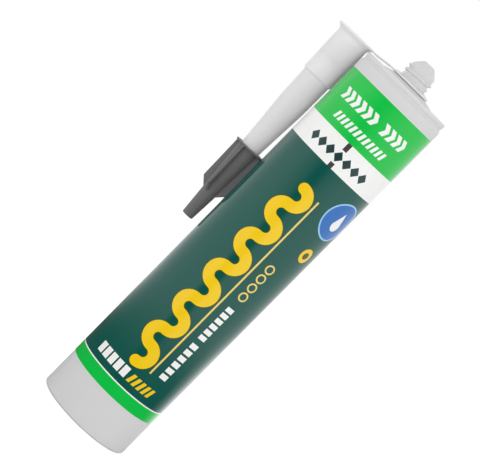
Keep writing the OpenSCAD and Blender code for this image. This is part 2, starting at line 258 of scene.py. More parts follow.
tube_plastic = moulded_plastic("light_grey_tube_plastic", shade(214, 214, 214), 0.5, glow=0.3)
nozzle_plastic = moulded_plastic("pale_nozzle_plastic", shade(232, 232, 232), 0.46, glow=0.45, shine=0.2)
cap_plastic = moulded_plastic("dark_grey_cap_plastic", shade(105, 104, 105), 0.5, cloud=0.06)
piston_plastic = moulded_plastic("white_piston_plastic", shade(232, 232, 228), 0.45)
print("moulded finishes:", [m.name for m in (tube_plastic, nozzle_plastic, cap_plastic, piston_plastic)])

# %% [markdown]
# ## Turned forms
# Nearly every piece here is round, and was made in a mould that was itself turned on a lathe. So
# each starts as half of its section: a closed outline of radius and height. Its corners are rounded
# on the outline, where a bevel is cheap and exact, and a spin sweeps it round the axis. A third
# number beside a corner says how far from it the rounding starts.

# %% Outline, spin and finished piece
ROUND_STEPS = 4
MERGE_GAP = 0.0005 * MM
NEAR = 0.1


def bow(start, end, sag, steps=8):
    """Corners between start and end on a shallow arc, which stands sag to the right of that way."""
    start, end = Vector(start), Vector(end)
    along = (end - start).normalized()
    out = Vector((along.y, -along.x))
    shares = [step / steps for step in range(1, steps)]
    return [tuple(start.lerp(end, t) + out * (4 * sag * t * (1 - t))) for t in shares]


def turned(outline, segments, fine=None, row=0.12):
    """A closed outline in millimetres, spun about Z. Edges that fine accepts are cut into short rows."""
    form = bmesh.new()
    corners = [form.verts.new(Vector((point[0], 0, point[1])) * MM) for point in outline]
    for first, second in zip(corners, corners[1:] + corners[:1]):
        if first.co.x > 0 or second.co.x > 0:
            form.edges.new((first, second))
    for corner, point in zip(corners, outline):
        if len(point) > 2:
            bmesh.ops.bevel(
                form, geom=[corner], offset=point[2] * MM, offset_type="OFFSET", segments=ROUND_STEPS,
                profile=0.5, affect="VERTICES", material=-1, clamp_overlap=True,
            )
    if fine:
        for edge in [e for e in form.edges if all(fine(v.co.x / MM, v.co.z / MM) for v in e.verts)]:
            cuts = int(edge.calc_length() / MM / row)
            if cuts:
                bmesh.ops.subdivide_edges(form, edges=[edge], cuts=cuts)
    bmesh.ops.spin(
        form, geom=form.verts[:] + form.edges[:], cent=(0, 0, 0), axis=(0, 0, 1), dvec=(0, 0, 0),
        angle=2 * math.pi, steps=segments, use_merge=True, use_duplicate=False,
    )
    bmesh.ops.remove_doubles(form, verts=form.verts, dist=MERGE_GAP)
    bmesh.ops.recalc_face_normals(form, faces=form.faces)
    return form


def open_edges(form):
    return sum(len(edge.link_faces) != 2 for edge in form.edges)


def piece_of(name, form, material, sharp=32):
    """The piece made of a form: smooth where it curves, crisp where it turns more than sharp degrees."""
    mesh = bpy.data.meshes.new(name)
    loose = open_edges(form)
    form.to_mesh(mesh)
    form.free()
    mesh.shade_smooth()
    mesh.set_sharp_from_angle(angle=math.radians(sharp))
    mesh.materials.append(material)
    piece = bpy.data.objects.new(name, mesh)
    bpy.context.scene.collection.objects.link(piece)
    even = piece.modifiers.new("even_shading", "WEIGHTED_NORMAL")
    even.keep_sharp = True
    print(f"{name}: {len(mesh.polygons)} faces, {loose} open edges")
    return piece


# %% [markdown]
# ## The neck's thread
# A real thread is cut by sweeping its section along a helix. On a spun form it can be had without a
# sweep: the rows of the neck are close together, and each point moves outwards to the height that
# the helix has there. The height falls off on both flanks, and it grows and fades over an eighth of
# a turn at the ends, as a moulded thread does. The nozzle's socket carries the same thread inside.

# %% Height of the helical ridge
PITCH = 2.7
TURNS = 1.8
THREAD_START = 4.85
THREAD_TURN = math.radians(-31.3)
FOOT_HALF = 0.36 * PITCH
CREST_HALF = 0.14 * PITCH
FADE_TURNS = 0.12
SINK = 0.3


def ridge(angle, height):
    """Share of the thread's full height at an angle round the axis and a height above the head."""
    tallest = 0
    for lap in range(math.ceil(TURNS)):
        turns = (angle - THREAD_TURN) % (2 * math.pi) / (2 * math.pi) + lap
        if turns < TURNS:
            away = abs(height - THREAD_START - PITCH * turns)
            flank = min(1, max(0, (FOOT_HALF - away) / (FOOT_HALF - CREST_HALF)))
            fade = min(1, turns / FADE_TURNS, (TURNS - turns) / FADE_TURNS)
            tallest = max(tallest, flank * flank * (3 - 2 * flank) * fade)
    return tallest


def raise_thread(form, foot, crest, near, side):
    """Moves the points that near accepts onto the thread: side is 1 on a neck and -1 in a socket."""
    moved = 0
    for vert in form.verts:
        radius = vert.co.xy.length / MM
        if near(radius, vert.co.z / MM):
            angle = side * math.atan2(vert.co.y, vert.co.x)
            height = vert.co.z / MM - HEAD if side > 0 else -vert.co.z / MM
            wanted = foot + (crest - foot) * ridge(angle, height)
            if side * wanted > side * radius:
                vert.co.xy *= wanted / radius
                moved += 1
    return moved


half_turn_in = ridge(THREAD_TURN + math.pi, THREAD_START + PITCH / 2)
print("share of the height half a turn in:", round(half_turn_in, 2))

# %% [markdown]
# ## The cartridge
# Tube, head and neck are one moulding, open at the rear for the plunger and closed at the tip, which
# the user cuts off. Its outline runs up the outside, over the lip and the groove that let the head
# flex, up the neck, and back down through the hollow. The two halves of the outline meet on the axis,
# where the spin closes them.

# %% Cartridge
LIP_R = TUBE_R - 0.45
LIP_FOOT = HEAD - 1.7
GROOVE_FOOT = LIP_FOOT - 2.9
GROOVE_DEPTH = 0.55
NECK_FILLET = 0.5
FILLET_SAG = 0.15
CONE_R = 16
CONE_TOP = HEAD + 2.25
ROOT_TOP = HEAD + 4.2
TIP_START = HEAD + 10.9
TIP_FLAT_R = 2.75
TIP_BULGE = 0.2
TIP_EDGE = 0.15
NECK_BORE_R = CORE_R - NECK_WALL

groove = bow((TUBE_R, GROOVE_FOOT), (LIP_R, LIP_FOOT), -GROOVE_DEPTH)
dome = bow((CORE_R, TIP_START), (TIP_FLAT_R + TIP_EDGE, TIP_TOP - TIP_EDGE), TIP_BULGE)
outside = [
    (LEAD_R, 0, 0.2),
    (TUBE_R, 0, 1.2),
    (TUBE_R, GROOVE_FOOT, 0.15),
    *groove,
    (LIP_R, LIP_FOOT, 0.1),
    (LIP_R, HEAD, 0.4),
    (CONE_R, HEAD, 0.8),
    (NECK_R + NECK_FILLET, CONE_TOP),
    *bow((NECK_R + NECK_FILLET, CONE_TOP), (NECK_R, CONE_TOP + NECK_FILLET), -FILLET_SAG, 4),
    (NECK_R, CONE_TOP + NECK_FILLET),
    (NECK_R, ROOT_TOP, 0.15),
    (CORE_R, ROOT_TOP + NECK_R - CORE_R, 0.15),
    (CORE_R, TIP_START, 0.3),
    *dome,
    (TIP_FLAT_R, TIP_TOP, 0.3),
    (0, TIP_TOP),
]
inside = [
    (0, TIP_TOP - NECK_WALL),
    (TIP_FLAT_R - NECK_WALL / 2, TIP_TOP - NECK_WALL),
    (NECK_BORE_R, TIP_START - NECK_WALL / 2),
    (NECK_BORE_R, HEAD - HEAD_WALL, 0.6),
    (BORE_R, HEAD - HEAD_WALL, 0.8),
    (BORE_R, LEAD_DEPTH + LEAD_R - BORE_R),
    (LEAD_R, LEAD_DEPTH),
]
THREAD_LOW = HEAD + 2
THREAD_HIGH = TIP_START + NEAR


def on_neck(radius, height):
    return THREAD_LOW < height < THREAD_HIGH and radius > NECK_BORE_R + NECK_WALL / 2


cartridge_form = turned(outside + inside, segments=192, fine=on_neck)
thread_points = raise_thread(cartridge_form, CORE_R - SINK, THREAD_R, on_neck, 1)
cartridge = piece_of("cartridge_moulding", cartridge_form, tube_plastic)
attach(cartridge, "cartridge")
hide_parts("cartridge_barrel")
print("points raised into the thread:", thread_points)

# %% [markdown]
# ## Melting forms together
# The nozzle is moulded with its strap and its ring, and the cap with its fins. Each of those is one
# skin on the real thing. The forms are first made apart, overlapping a little, and then a Boolean
# union removes what lies inside. The modifier is applied at once, so the piece keeps a plain mesh.

# %% Union of overlapping forms
def melted(forms):
    """One form from several closed ones that overlap."""
    carriers = []
    for number, form in enumerate(forms):
        mesh = bpy.data.meshes.new(f"melt_{number}")
        form.to_mesh(mesh)
        form.free()
        carrier = bpy.data.objects.new(f"melt_{number}", mesh)
        bpy.context.scene.collection.objects.link(carrier)
        carriers.append(carrier)
    for other in carriers[1:]:
        union = carriers[0].modifiers.new("union", "BOOLEAN")
        union.operation = "UNION"
        union.solver = "EXACT"
        union.object = other
    graph = bpy.context.evaluated_depsgraph_get()
    result = bmesh.new()
    result.from_mesh(carriers[0].evaluated_get(graph).to_mesh())
    for carrier in carriers:
        bpy.data.meshes.remove(carrier.data)
    bmesh.ops.remove_doubles(result, verts=result.verts, dist=MERGE_GAP)
    return result


# %% [markdown]
# ## The nozzle
# The nozzle hangs beside the tube with its mouth up, tied to the neck by a strap. Its skirt holds the
# threaded socket, and below it a long cone narrows to the tip under the cap. It is drawn about its own
# axis with the flange's upper face at zero, because a spin needs that axis upright. Then it is leaned
# by one degree and moved to where it hangs.

# %% Nozzle sizes and outline
FLANGE_R = 10.5
FLANGE_T = 0.85
FLANGE_RISE = 1.55
FLANGE_CONE = 1.85
SKIRT_R = 8.56
COLLAR_R = 8.48
COLLAR_LEN = 16
COLLAR_STEP = 0.1
SKIRT_LOW_R = 8.3
SKIRT_LEN = 26.7
BODY_R = 7.49
CONE_TOP_R = 7.2
CONE_START = 43
TAPER = 0.0705
NOZZLE_LEN = 104
NOZZLE_WALL = 1.1
SOCKET_R = 7.6
SOCKET_LEN = 17.5
SOCKET_LEAD = 0.3
MOUTH_EASE = 0.5
RIDGE_R = 6.7
LEAN = math.radians(1)
RING_R = 10.7
nozzle_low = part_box("nozzle")[0]
HANG_R = -nozzle_low.x / MM - FLANGE_R * math.cos(LEAN)
SKIRT_STEP = SKIRT_LOW_R - BODY_R


def cone_at(below):
    """Outside radius of the nozzle's cone at a distance below the flange's upper face."""
    return CONE_TOP_R - (below - CONE_START) * TAPER


def hang(form):
    """Puts a form made about the nozzle's own axis where the nozzle hangs."""
    place = Matrix.Translation(Vector((-HANG_R, 0, HEAD + FLANGE_RISE)) * MM)
    lean = Matrix.Rotation(-LEAN, 4, "Y")
    bmesh.ops.transform(form, matrix=place @ lean, verts=form.verts)
    return form


nozzle_outline = [
    (SOCKET_R + MOUTH_EASE, 0, 0.12),
    (FLANGE_R, 0, 0.25),
    (FLANGE_R, -FLANGE_T, 0.25),
    (SKIRT_R, -FLANGE_T - FLANGE_CONE, 0.7),
    (COLLAR_R, -COLLAR_LEN, 0.04),
    (COLLAR_R - COLLAR_STEP, -COLLAR_LEN - COLLAR_STEP, 0.04),
    (SKIRT_LOW_R, -SKIRT_LEN, 0.25),
    (BODY_R, -SKIRT_LEN - SKIRT_STEP, 0.3),
    (CONE_TOP_R, -CONE_START, 3),
    (cone_at(NOZZLE_LEN), -NOZZLE_LEN, 0.2),
    (cone_at(NOZZLE_LEN) - NOZZLE_WALL, -NOZZLE_LEN, 0.1),
    (CONE_TOP_R - NOZZLE_WALL, -CONE_START, 3),
    (BODY_R - NOZZLE_WALL, -SKIRT_LEN - SKIRT_STEP, 0.3),
    (BODY_R - NOZZLE_WALL, -SOCKET_LEN - (SOCKET_R - BODY_R + NOZZLE_WALL), 0.2),
    (SOCKET_R, -SOCKET_LEN, 0.2),
    (SOCKET_R, -MOUTH_EASE, 0.12),
]
print(f"nozzle hangs {HANG_R:.2f} mm from the tube's axis")

# %% [markdown]
# The strap is a flat strip with a waist where it tears off the flange. A fine grid gives it both: the
# waist comes from drawing the points in by a half circle, and its climb to the ring from lifting them
# along the strip. The ring is a dished washer, loose on the neck's root.

# %% Nozzle with strap and ring
STRAP_W = 5
STRAP_T = 0.8
TEAR_W = 2.6
RING_FIT = 0.3
RING_INNER_R = NECK_R + RING_FIT
RING_T = 0.8
RING_LOW = HEAD + 1.8
RING_DISH = 0.9
RING_CROWN = 0.5
RING_OVERLAP = 0.6
STRAP_STEP = 0.15
NOTCH_R = (STRAP_W - TEAR_W) / 2
NOTCH_OFF = 1.5
NOTCH_X = -HANG_R + FLANGE_R + NOTCH_OFF
STRAP_FROM = -HANG_R + SKIRT_R
STRAP_TO = -RING_R + RING_OVERLAP
STRAP_LOW = HEAD + FLANGE_RISE - STRAP_T
STRAP_HIGH = RING_LOW + RING_T - STRAP_T
LEVEL_END = 3


def strap():
    form = bmesh.new()
    cells = round((STRAP_TO - STRAP_FROM) / STRAP_STEP)
    bmesh.ops.create_grid(form, x_segments=cells, y_segments=8, size=0.5)
    rise_from = NOTCH_X + NOTCH_R
    rise_to = STRAP_TO - LEVEL_END
    for vert in form.verts:
        x = STRAP_FROM + (vert.co.x + 0.5) * (STRAP_TO - STRAP_FROM)
        waist = math.sqrt(max(0, NOTCH_R**2 - (x - NOTCH_X) ** 2))
        share = min(1, max(0, (x - rise_from) / (rise_to - rise_from)))
        z = STRAP_LOW + (STRAP_HIGH - STRAP_LOW) * share
        vert.co = Vector((x, vert.co.y * (STRAP_W - 2 * waist), z)) * MM
    rim = bmesh.ops.extrude_face_region(form, geom=form.faces[:])
    lifted = [item for item in rim["geom"] if isinstance(item, bmesh.types.BMVert)]
    bmesh.ops.translate(form, vec=(0, 0, STRAP_T * MM), verts=lifted)
    bmesh.ops.recalc_face_normals(form, faces=form.faces)
    return form


def in_socket(radius, height):
    return -SOCKET_LEN < height < -SOCKET_LEAD and RIDGE_R < radius < SOCKET_R + NEAR


nozzle_form = turned(nozzle_outline, segments=144, fine=in_socket, row=0.15)
socket_points = raise_thread(nozzle_form, SOCKET_R + SINK, RIDGE_R, in_socket, -1)
ring_form = turned(
    [
        (RING_R, RING_LOW, 0.2),
        (RING_R, RING_LOW + RING_T, 0.2),
        (RING_INNER_R + RING_CROWN, RING_LOW + RING_T + RING_DISH, 0.2),
        (RING_INNER_R, RING_LOW + RING_T + RING_DISH, 0.1),
        (RING_INNER_R, RING_LOW + RING_DISH, 0.1),
    ],
    segments=96,
)
nozzle = piece_of("nozzle_moulding", melted([hang(nozzle_form), strap(), ring_form]), nozzle_plastic)
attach(nozzle, "nozzle")
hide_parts("nozzle")
print("points moved into the socket's thread:", socket_points)

# %% [markdown]
# ## The nozzle's cap
# The soft dark cap is pushed over the nozzle's cone. It is a thin tapered cup with a rim at its mouth
# and four fins to pull it by, which end in a slope. A fin is a flat outline, thickened and with its
# edges eased. It roots in the cup's wall, so that its inner edge never shows inside.

# %% Cap
CAP_START = 72.5
CAP_LEN = 43.35
CAP_END = CAP_START + CAP_LEN
CAP_WALL = 0.8
CAP_FIT = 0.08
CAP_END_T = 1.4
RIM_R = 8.1
RIM_T = 0.85
FIN_R = 8.15
FIN_T = 1.1
FIN_LEN = 24.2
FIN_END = CAP_START + FIN_LEN
FIN_ROOT = 0.5
FIN_EDGE = 0.22
FIN_COUNT = 4
FIN_TURN = math.radians(-6.8)


def cap_at(below):
    return cone_at(below) + CAP_FIT + CAP_WALL


def fin(number):
    """One grip fin, standing out along +X from the cup and turned to its place."""
    top = CAP_START + RIM_T / 2
    slope_end = (FIN_R + FIN_END - cap_at(0) + FIN_ROOT) / (1 - TAPER)
    outline = [
        (cap_at(top) - FIN_ROOT, -top),
        (FIN_R, -top),
        (FIN_R, -FIN_END),
        (cap_at(slope_end) - FIN_ROOT, -slope_end),
    ]
    form = bmesh.new()
    corners = [form.verts.new(Vector((x, -FIN_T / 2, z)) * MM) for x, z in outline]
    form.faces.new(corners)
    grown = bmesh.ops.extrude_face_region(form, geom=form.faces[:])
    far = [item for item in grown["geom"] if isinstance(item, bmesh.types.BMVert)]
    bmesh.ops.translate(form, vec=(0, FIN_T * MM, 0), verts=far)
    bmesh.ops.recalc_face_normals(form, faces=form.faces)
    outer = [e for e in form.edges if max(v.co.x for v in e.verts) > (FIN_R - NEAR) * MM]
    bmesh.ops.bevel(
        form, geom=outer, offset=FIN_EDGE * MM, offset_type="OFFSET", segments=3,
        profile=0.5, affect="EDGES", material=-1, clamp_overlap=True,
    )
    turn = Matrix.Rotation(FIN_TURN + number * 2 * math.pi / FIN_COUNT, 4, "Z")
    bmesh.ops.transform(form, matrix=turn, verts=form.verts)
    return form


cap_outline = [
    (cone_at(CAP_START) + CAP_FIT, -CAP_START, 0.1),
    (RIM_R, -CAP_START, 0.15),
    (RIM_R, -CAP_START - RIM_T, 0.2),
    (cap_at(CAP_START + RIM_T), -CAP_START - RIM_T, 0.15),
    (cap_at(CAP_END), -CAP_END, 0.5),
    (0, -CAP_END),
    (0, -CAP_END + CAP_END_T),
    (cone_at(CAP_END - CAP_END_T) + CAP_FIT, -CAP_END + CAP_END_T, 0.2),
]
cap_forms = [turned(cap_outline, segments=128)] + [fin(number) for number in range(FIN_COUNT)]
cap = piece_of("nozzle_cap_moulding", hang(melted(cap_forms)), cap_plastic)
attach(cap, "cap")
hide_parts("nozzle_cap")

# %% [markdown]
# ## The piston
# It is hidden until someone looks into the open rear. It is a cup with two sealing lips, which keep
# the paste in front of it, and with ribs behind its face, which keep that face flat under the plunger.
# The cup and its hub are turned, and the ribs are plain blocks, so a union melts them all together.

# %% Piston
PISTON_LOW = 13
PISTON_SKIRT = 14
PISTON_RISE = 3
PISTON_WALL = 1.4
PISTON_FIT = 0.05
PISTON_RELIEF = 0.8
SEAL_H = 1.6
SEAL_SLOPE = 0.6
RIB_COUNT = 8
RIB_T = 1.1
RIB_H = 5
HUB_R = 6
FACE_Z = PISTON_LOW + PISTON_SKIRT
PISTON_TOP = FACE_Z + PISTON_RISE
SKIRT_OUT = BORE_R - PISTON_RELIEF
SKIRT_IN = SKIRT_OUT - PISTON_WALL
SEAL_OUT = BORE_R - PISTON_FIT
UNDER_FACE = PISTON_TOP - PISTON_WALL


def box_form(low, high, turn=0.0):
    """A block between two corners in millimetres, turned about Z."""
    form = bmesh.new()
    low, high = Vector(low) * MM, Vector(high) * MM
    size = Matrix.Diagonal((*(high - low), 1))
    place = Matrix.Rotation(turn, 4, "Z") @ Matrix.Translation((low + high) / 2) @ size
    bmesh.ops.create_cube(form, size=1, matrix=place)
    return form


cup = turned(
    [
        (SKIRT_IN, PISTON_LOW, 0.3),
        (SEAL_OUT, PISTON_LOW, 0.2),
        (SEAL_OUT, PISTON_LOW + SEAL_H, 0.2),
        (SKIRT_OUT, PISTON_LOW + SEAL_H + SEAL_SLOPE, 0.3),
        (SKIRT_OUT, FACE_Z - SEAL_H - SEAL_SLOPE, 0.3),
        (SEAL_OUT, FACE_Z - SEAL_H, 0.2),
        (SEAL_OUT, FACE_Z, 0.2),
        (SKIRT_OUT, FACE_Z, 0.3),
        (SKIRT_OUT - PISTON_RISE, PISTON_TOP, 0.8),
        (0, PISTON_TOP),
        (0, UNDER_FACE),
        (SKIRT_OUT - PISTON_RISE - PISTON_WALL / 2, UNDER_FACE, 0.6),
        (SKIRT_IN, FACE_Z - PISTON_WALL, 0.6),
    ],
    segments=144,
)
hub = turned(
    [
        (HUB_R - RIB_T / 2, UNDER_FACE - RIB_H, 0.2),
        (HUB_R + RIB_T / 2, UNDER_FACE - RIB_H, 0.2),
        (HUB_R + RIB_T / 2, UNDER_FACE + SINK),
        (HUB_R - RIB_T / 2, UNDER_FACE + SINK),
    ],
    segments=64,
)
# The ribs stop short of the sloping corner under the face, where the wall takes over.
ribs = [
    box_form(
        (HUB_R, -RIB_T / 2, UNDER_FACE - RIB_H),
        (SKIRT_IN + SINK, RIB_T / 2, FACE_Z - PISTON_WALL),
        turn=number * 2 * math.pi / RIB_COUNT,
    )
    for number in range(RIB_COUNT)
]
piston = piece_of("piston_cup", melted([cup, hub] + ribs), piston_plastic)
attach(piston, "piston")
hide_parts("piston")

# %% [markdown]
# ## The paste
# The paste fills the cartridge from the piston up into the neck. Its outline is the hollow's own, a hair
# smaller, so that the two skins never touch. The share of its length that would be left with the piston
# fully up is worked out from the piston's joint and printed.

# %% Paste
PASTE_FIT = 0.05
RUN_GAP = 0.3
SWIRLS_PER_MM = 0.12
SWIRL_DEPTH = 0.1
PASTE_ROUGHNESS = 0.25
PASTE_ROUGHNESS_SPREAD = 0.2
PASTE_DARK = shade(226, 219, 200)
PASTE_PALE = shade(238, 233, 218)


def paste_finish():
    """A stiff off-white adhesive: smooth, a little wet, with slow swirls."""
    material = bpy.data.materials.new("off_white_paste")
    graph = Graph(material)
    place = graph.node("ShaderNodeTexCoord", output="Object")
    swirl = graph.noise(place, SWIRLS_PER_MM / MM, 4.0)
    graph.skin({
        "Base Color": graph.blend(swirl, PASTE_DARK, PASTE_PALE),
        "Roughness": swirl * PASTE_ROUGHNESS_SPREAD + PASTE_ROUGHNESS,
        "Normal": graph.bump(swirl, SWIRL_DEPTH * MM, strength=0.6),
    })
    return material


paste_form = turned(
    [
        (0, TIP_TOP - NECK_WALL - PASTE_FIT),
        (TIP_FLAT_R - NECK_WALL / 2 - PASTE_FIT, TIP_TOP - NECK_WALL - PASTE_FIT),
        (NECK_BORE_R - PASTE_FIT, TIP_START - NECK_WALL / 2 - PASTE_FIT),
        (NECK_BORE_R - PASTE_FIT, HEAD - HEAD_WALL - PASTE_FIT, 0.7),
        (BORE_R - PASTE_FIT, HEAD - HEAD_WALL - PASTE_FIT, 0.9),
        (BORE_R - PASTE_FIT, FACE_Z + RUN_GAP),
        (SKIRT_OUT - RUN_GAP / 2, FACE_Z + RUN_GAP),
        (SKIRT_OUT - PISTON_RISE, PISTON_TOP + RUN_GAP, 0.8),
        (0, PISTON_TOP + RUN_GAP),
    ][::-1],
    segments=96,
)
paste = piece_of("paste_filling", paste_form, paste_finish())
slide = next(joint for joint in frame["joints"] if joint["name"] == "piston_slide")
paste_top = slide["deforming_nodes"][0]["fixed_end_z_m"]
paste_len = paste_top - (PISTON_TOP + RUN_GAP) * MM
paste_left = (paste_len - slide["range_m"][1]) / paste_len
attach(paste, "cartridge")
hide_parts("adhesive_fill")
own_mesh(paste)
print(f"over the piston, paste keeps {paste_left:.3f} of its {paste_len / MM:.0f} mm when the piston is up")

# %% [markdown]
# ## The film
# The label is a thin printed film that goes once round the tube, and laps over itself at the back. A
# spun rectangle that goes a little further than a full turn gives just that. The last stretch is then
# lifted by the film's thickness, with a short ramp before it, so that it lies on the first one.

# %% Wrapped film
FILM_T = 0.058
FILM_GAP = 0.003
LAP_MM = 7
RAMP_MM = 4
FRONT = math.radians(-74.3)
BACK = FRONT + math.pi
LAP = LAP_MM / TUBE_R
FILM_STEPS = 200
LAYER = FILM_T + FILM_GAP

film_form = bmesh.new()
section = [
    (TUBE_R + FILM_GAP, LABEL_LOW),
    (TUBE_R + LAYER, LABEL_LOW),
    (TUBE_R + LAYER, LABEL_TOP),
    (TUBE_R + FILM_GAP, LABEL_TOP),
]
strip = [film_form.verts.new(Vector((radius, 0, height)) * MM) for radius, height in section]
film_form.faces.new(strip)
film_start = BACK - LAP / 2
bmesh.ops.rotate(film_form, cent=(0, 0, 0), matrix=Matrix.Rotation(film_start, 3, "Z"), verts=strip)
bmesh.ops.spin(
    film_form, geom=film_form.faces[:] + film_form.edges[:] + film_form.verts[:], cent=(0, 0, 0),
    axis=(0, 0, 1), dvec=(0, 0, 0), angle=2 * math.pi + LAP, steps=FILM_STEPS, use_merge=False,
    use_duplicate=False,
)
film_form.verts.index_update()
step_angle = (2 * math.pi + LAP) / FILM_STEPS
for number, vert in enumerate(film_form.verts):
    travelled = (number // len(section)) * step_angle
    lift = min(1, max(0, 1 + (travelled - 2 * math.pi) * TUBE_R / RAMP_MM))
    vert.co.xy *= 1 + lift * LAYER * MM / vert.co.xy.length
bmesh.ops.recalc_face_normals(film_form, faces=film_form.faces)
print("film:", len(film_form.verts), "points, open edges:", open_edges(film_form))

# %% [markdown]
# ## What is printed on the film
# The print could be a picture wrapped round the film, but a picture is only as sharp as it was made.
# Here the finish draws it, as a press does: each field is a mask, and the inks go on one over the
# other. Two lengths place everything, in millimetres: `across`, round the tube from the middle of the
# front, and `up`, above the rear rim.

# %% Places on the film and shapes of ink
def film_places(graph):
    """Millimetres round the tube from the middle of the front, and millimetres above the rear rim."""
    place = graph.node("ShaderNodeTexCoord", output="Object")
    parts = graph.node("ShaderNodeSeparateXYZ", {}, {0: place})
    x, y, z = (Wire(graph, socket) for socket in parts.socket.node.outputs)
    turn = y.math("ARCTAN2", x) - FRONT
    return turn.math("WRAP", math.pi, -math.pi) * TUBE_R, z / MM, place


def between(wire, low, high):
    return (wire > low) * (wire < high)


def least(first, second):
    return first.math("MINIMUM", second)


def most(first, second):
    return first.math("MAXIMUM", second)


def reach(first, second):
    """Distance from the origin of a point given by two lengths."""
    return (first * first + second * second).math("SQRT")


def disc(across, up, centre, radius):
    return reach(across - centre[0], up - centre[1]) < radius


def blocks(along, aside, first, count, pitch, fill, height):
    """A row of equal blocks. Along runs with the row, and aside is measured from its middle line."""
    cell = (along - first) / pitch
    return between(cell, 0, count) * (cell.math("FRACT") < fill) * (abs(aside) < height / 2)


# %% [markdown]
# The bead is a row of half circles that open left and right in turn. Every second one has its middle
# at a fixed distance from the last, so the nearest middle is found by rounding, and the ink lies
# where the distance to that circle is under half the bead's width.

# %% The bead of paste
BEAD_W = 5.5
BEAD_R = 5
BEAD_COUNT = 11
BEAD_AT = math.radians(-77.3) - FRONT
BEAD_CLEAR = 11
LOW_BAND_H = 6.3
LOW_BAND_TOP = LABEL_LOW + LOW_BAND_H
BEAD_LOW = LOW_BAND_TOP + BEAD_CLEAR + BEAD_R + BEAD_W / 2
BEAD_TOP = BEAD_LOW + 2 * BEAD_R * (BEAD_COUNT - 1)


def off_bead(across, up):
    """Distance from the middle line of the bead, in millimetres."""
    aside = across - BEAD_AT * TUBE_R
    pair = 4 * BEAD_R

    def to_bends(first, count):
        number = ((up - first) / pair).math("ROUND")
        number = least(most(number, 0), count - 1)
        return abs(reach(aside, up - first - number * pair) - BEAD_R)

    right = to_bends(BEAD_LOW, (BEAD_COUNT + 1) // 2)
    left = to_bends(BEAD_LOW + 2 * BEAD_R, BEAD_COUNT // 2)
    is_right = aside > 0
    body = right * is_right + left * (1 - is_right)
    ends = least(reach(aside, up - BEAD_LOW + BEAD_R), reach(aside, up - BEAD_TOP - BEAD_R))
    return least(body, ends)


print(f"bead runs from {BEAD_LOW - BEAD_R:.1f} to {BEAD_TOP + BEAD_R:.1f} mm")

# %% [markdown]
# ## The inks and the bands
# A film like this is printed in a few solid inks. They are written as a screen shows them, because the
# studio's light lets a colour come out about as it is written. The bands run all the way round. Each
# function from here on takes the paint so far and returns it with its own inks laid over it.

# %% Inks and bands
DEEP_GREEN = shade(0, 82, 72)
BRIGHT_GREEN = shade(0, 192, 68)
WHITE_INK = shade(242, 242, 240)
YELLOW_INK = shade(243, 202, 14)
PALE_YELLOW = shade(238, 208, 112)
BLUE_INK = shade(38, 108, 186)
PALE_BLUE = shade(150, 200, 236)
DARK_INK = shade(28, 60, 58)
MARK_INK = shade(74, 62, 64)
OLIVE_EDGE = shade(70, 78, 20)

TOP_BAND_H = 26.2
WHITE_BAND_H = 14
WHITE_TOP = LABEL_TOP - TOP_BAND_H
WHITE_LOW = WHITE_TOP - WHITE_BAND_H
LINE_H = 0.6


def bands(graph, up):
    """Bright green at both ends, white under the upper one, and deep green between."""
    paint = graph.blend(up > WHITE_LOW, DEEP_GREEN, WHITE_INK)
    paint = graph.blend(most(up > WHITE_TOP, up < LOW_BAND_TOP), paint, BRIGHT_GREEN)
    return graph.blend(between(up, LOW_BAND_TOP, LOW_BAND_TOP + LINE_H), paint, WHITE_INK)


print(f"white band from {WHITE_LOW:.1f} to {WHITE_TOP:.1f} mm")

# %% [markdown]
# The upper bands carry a pattern of plain blocks in rows. They could be drawn one by one, but a row of
# equal blocks is a single mask that repeats. Chevrons come from a row whose blocks shift along with the
# distance from its middle line, and slanted blocks from one that shifts with the height.

# %% Rows on the upper bands
CHEVRON_UP = 194.8
CHEVRON_SLOPE = 0.55
SLANT = 0.3
SLANTED_UP = 185.1
MARK_AT = -0.4
MARK_HALF_W = 1.2
MARK_CLEAR = 3.6
LOZENGE_UP = 171.6
LOZENGE_FIRST = -18.7
LOZENGE_COUNT = 7
LOZENGE_PITCH = 5.2
LOZENGE_HALF = 2.45
LOZENGE_SQUAT = 0.85


def headings(graph, paint, across, up):
    """Two groups of chevrons over a row of slanted blocks."""
    chevrons = across + abs(up - CHEVRON_UP) * CHEVRON_SLOPE
    slanted = across - (up - SLANTED_UP) * SLANT
    left = blocks(chevrons, up - CHEVRON_UP, first=-20.6, count=6, pitch=3.9, fill=0.62, height=6)
    right = blocks(chevrons, up - CHEVRON_UP, first=6.2, count=4, pitch=3.95, fill=0.62, height=6)
    under = blocks(slanted, up - SLANTED_UP, first=-16.1, count=12, pitch=2.7, fill=0.58, height=4)
    return graph.blend(most(most(left, right), under), paint, WHITE_INK)


def lozenges(graph, paint, across, up):
    """A short upright bar on the white band, broken by a row of lozenges."""
    off_row = abs(up - LOZENGE_UP)
    bar = (abs(across - MARK_AT) < MARK_HALF_W) * between(up, WHITE_LOW, WHITE_TOP) * (off_row > MARK_CLEAR)
    paint = graph.blend(bar, paint, MARK_INK)
    cell = (across - LOZENGE_FIRST) / LOZENGE_PITCH
    off_middle = abs(cell.math("FRACT") - 0.5) * LOZENGE_PITCH
    lozenge = off_middle + off_row * LOZENGE_SQUAT < LOZENGE_HALF
    return graph.blend(lozenge * between(cell, 0, LOZENGE_COUNT), paint, DARK_INK)


print("lozenges span", round(LOZENGE_COUNT * LOZENGE_PITCH, 1), "mm of the white band")

# %% [markdown]
# The deep green field carries the bead with a thin dark edge, a fine rule along it, and smaller rows
# beside and below. A chain of rings repeats with the height, so one ring's distance does for them all.

